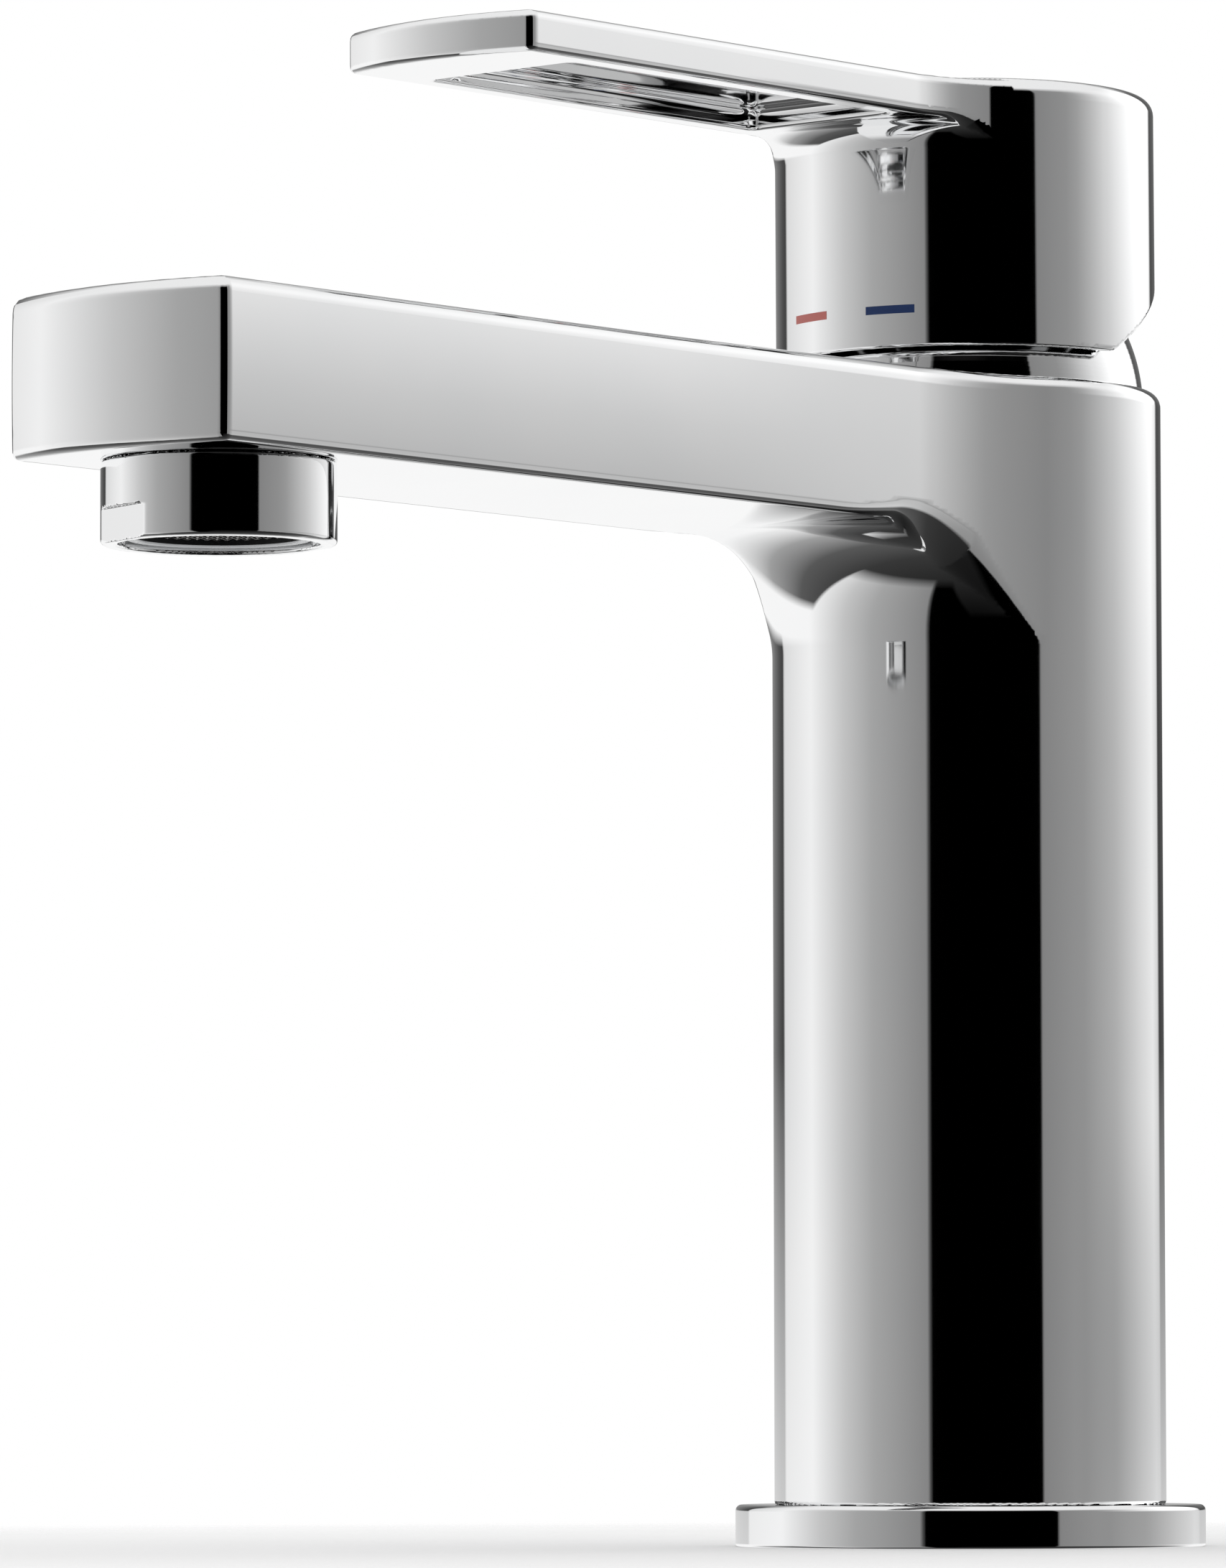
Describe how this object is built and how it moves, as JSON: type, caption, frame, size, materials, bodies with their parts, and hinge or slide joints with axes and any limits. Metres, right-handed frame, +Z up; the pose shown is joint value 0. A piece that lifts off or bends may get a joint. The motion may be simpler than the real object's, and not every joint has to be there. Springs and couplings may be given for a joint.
{
  "type": "basin mixer tap",
  "caption": "Single-lever basin mixer tap: round column on a base ring, long flat spout with a screwed aerator, flat lever handle over a ceramic-disc cartridge.",
  "frame": {"origin": "on the column's axis, in the plane of the deck that the base ring stands on", "axes": "+Z up along the column, -Y along the spout and the closed lever, +X to the cold side"},
  "size_m": [0.054, 0.1712, 0.1673],
  "materials": {
    "chrome": "polished",
    "brass": "machined",
    "steel": "satin",
    "zinc": "die-cast zinc",
    "rubber": "matte",
    "white_plastic": "moulded",
    "blue_plastic": "moulded",
    "insert_plastic": "moulded",
    "ceramic": "lapped",
    "hot_enamel": "enamel",
    "cold_enamel": "enamel"
  },
  "bodies": {
    "tap": {"tap_body": "chrome", "base_ring": "chrome", "base_gasket": "rubber", "dome_collar": "chrome", "cartridge_nut": "brass", "cartridge_housing": "white_plastic", "housing_oring": "rubber", "cartridge_base": "white_plastic", "inlet_seals": "rubber", "port_seals": "rubber", "fixed_disc": "ceramic", "aerator_collar": "chrome", "aerator_gasket": "rubber", "aerator_insert": "insert_plastic", "aerator_strainer": "insert_plastic", "aerator_mesh": "steel"},
    "swivel": {"swivel_guide": "blue_plastic", "swivel_oring": "rubber", "stem_pin": "steel"},
    "lever": {"stem": "zinc", "stem_insert": "white_plastic", "handle": "chrome", "set_screw": "steel", "screw_plug": "chrome", "hot_mark": "hot_enamel", "cold_mark": "cold_enamel"},
    "slide": {"moving_disc": "ceramic", "disc_carrier": "blue_plastic"}
  },
  "joints": [
    {"name": "handle_swing", "type": "hinge", "parent": "tap", "child": "swivel", "pos_m": [0, 0, 0.1314], "axis": [0, 0, 1], "range_deg": [-50, 50]},
    {"name": "handle_lift", "type": "hinge", "parent": "swivel", "child": "lever", "pos_m": [0, 0, 0.1314], "axis": [-1, 0, 0], "range_deg": [0, 25]},
    {"name": "disc_slide", "type": "slide", "parent": "swivel", "child": "slide", "axis": [0, -1, 0], "range_m": [0, 0.0041]}
  ],
  "couplings": [
    {"joint": "disc_slide", "follows": "handle_lift", "m_per_rad": 0.0092014}
  ]
}
